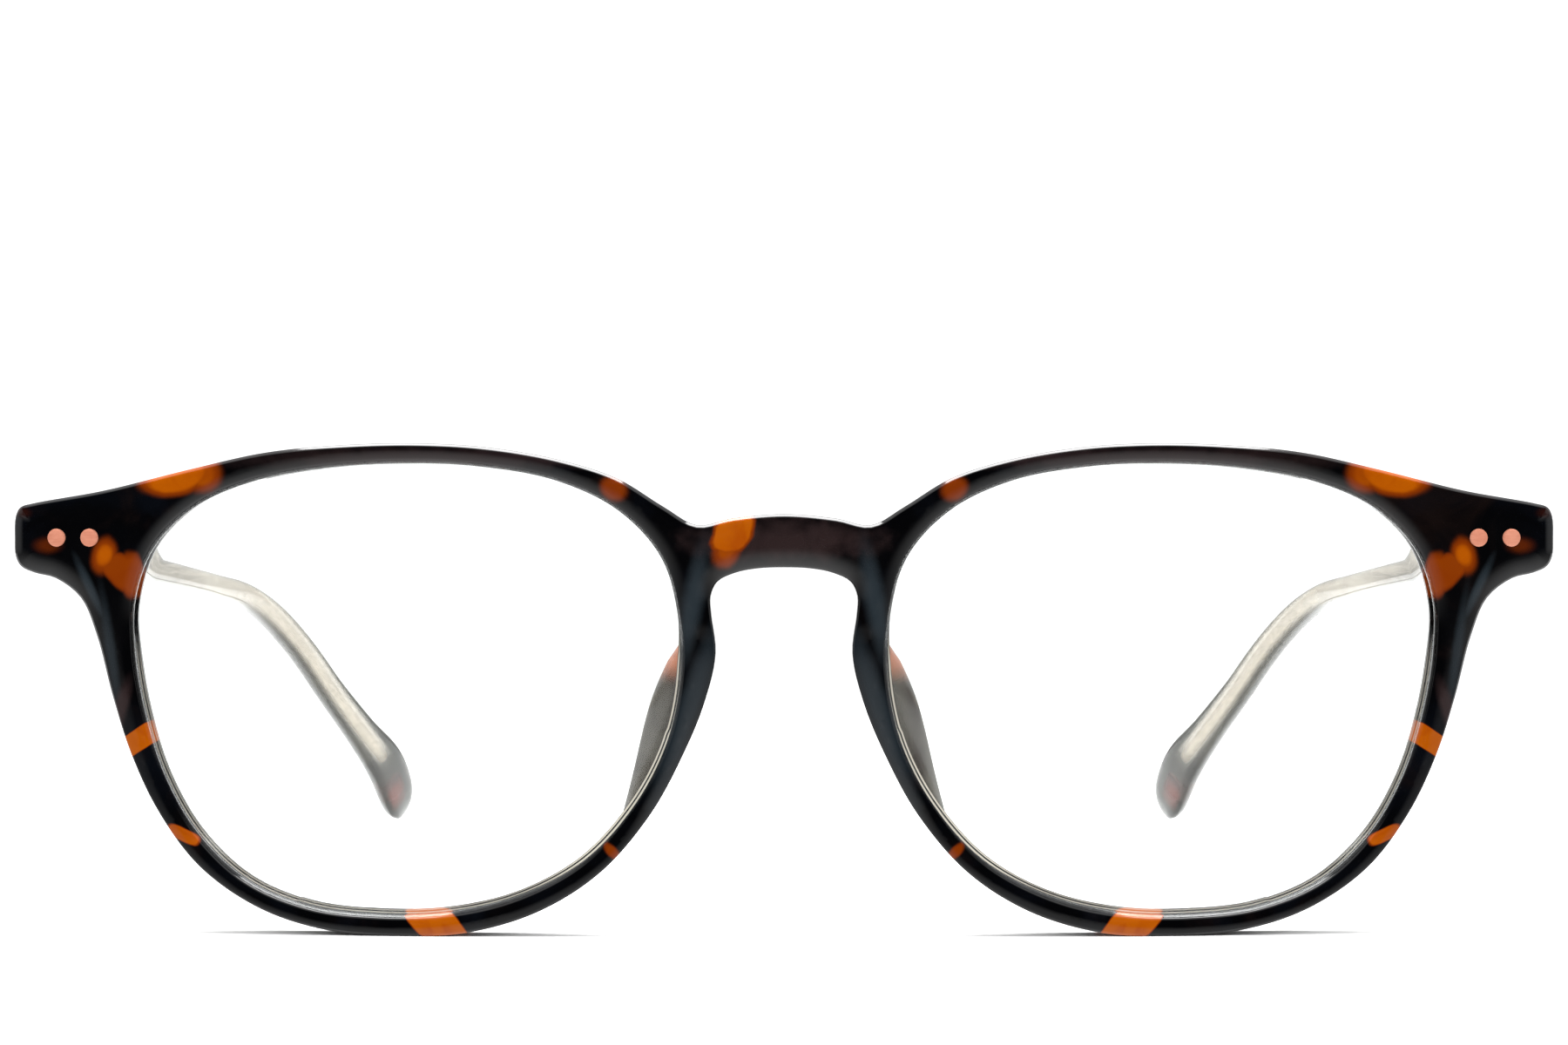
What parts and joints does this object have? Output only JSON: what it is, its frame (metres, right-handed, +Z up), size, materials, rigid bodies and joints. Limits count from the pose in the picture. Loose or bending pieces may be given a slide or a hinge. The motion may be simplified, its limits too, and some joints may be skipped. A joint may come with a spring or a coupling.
{
  "type": "glasses",
  "caption": "Optical glasses with a keyhole-bridge acetate front, clear lenses, riveted barrel hinges and clear temples on a metal core wire.",
  "frame": {"origin": "on the surface the open glasses stand on, under the middle of their box", "axes": "+Z up; +Y back along the temples, so the front faces -Y; +X is the wearer's left"},
  "size_m": [0.141, 0.1428, 0.0444],
  "materials": {
    "tortoise": "polished dark tortoise acetate",
    "crystal": "polished clear acetate",
    "pad": "polished translucent acetate",
    "lens": "clear lens resin",
    "copper": "satin rose copper",
    "steel": "fine brushed",
    "wire": "champagne-coloured nickel silver"
  },
  "bodies": {
    "front": {"front_frame": "tortoise", "left_lens": "lens", "left_nose_pad": "pad", "left_rivet_inner": "copper", "left_rivet_outer": "copper", "left_front_hinge": "steel", "left_hinge_screw": "steel", "right_lens": "lens", "right_nose_pad": "pad", "right_rivet_inner": "copper", "right_rivet_outer": "copper", "right_front_hinge": "steel", "right_hinge_screw": "steel"},
    "left_temple": {"left_temple": "crystal", "left_temple_hinge": "steel", "left_core_wire": "wire", "left_tip_inlay": "copper"},
    "right_temple": {"right_temple": "crystal", "right_temple_hinge": "steel", "right_core_wire": "wire", "right_tip_inlay": "copper"}
  },
  "joints": [
    {"name": "left_temple_fold", "type": "hinge", "parent": "front", "child": "left_temple", "pos_m": [0.0649, -0.06035, 0.0359], "axis": [0, 0, 1], "range_deg": [0, 84]},
    {"name": "right_temple_fold", "type": "hinge", "parent": "front", "child": "right_temple", "pos_m": [-0.0649, -0.06035, 0.0359], "axis": [0, 0, -1], "range_deg": [0, 79]}
  ]
}
